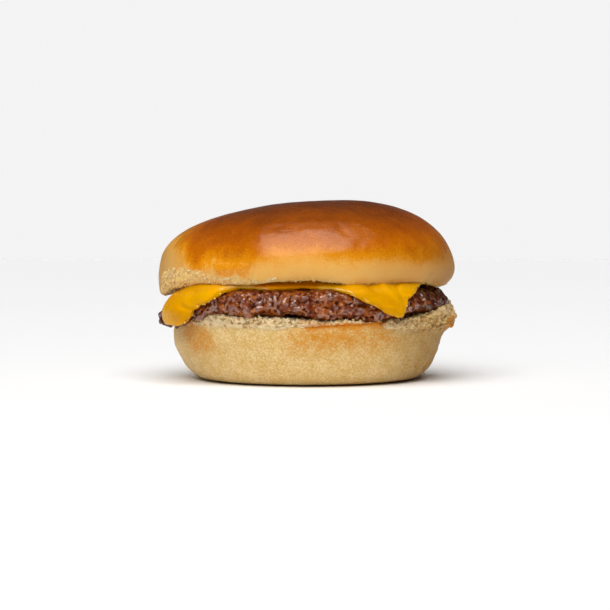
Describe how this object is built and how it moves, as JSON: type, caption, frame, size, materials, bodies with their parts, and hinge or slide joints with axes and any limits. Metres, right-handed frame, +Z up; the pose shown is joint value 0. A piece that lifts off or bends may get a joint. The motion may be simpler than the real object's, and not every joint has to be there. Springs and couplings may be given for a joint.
{
  "type": "cheeseburger",
  "caption": "Cheeseburger on a soft glossy bun, with a thick beef patty and a melted cheese slice whose corners hang over it.",
  "frame": {"origin": "middle of the flat base of the lower bun half", "axes": "+Z up, -Y the side with the long open edge of cheese and the patty, +X the side with the torn flap of the lower bun half"},
  "size_m": [0.1152, 0.111, 0.0687],
  "materials": {
    "crown_crust": "glossy baked crust, deep brown on top and pale at the lip",
    "cheese": "satin melted processed cheese",
    "beef": "craggy seared minced beef, wet with fat",
    "heel_crust": "matt pale golden crust with fine blisters"
  },
  "bodies": {
    "root": {"crown": "crown_crust", "cheese_slice": "cheese", "patty": "beef", "heel": "heel_crust"}
  },
  "joints": []
}
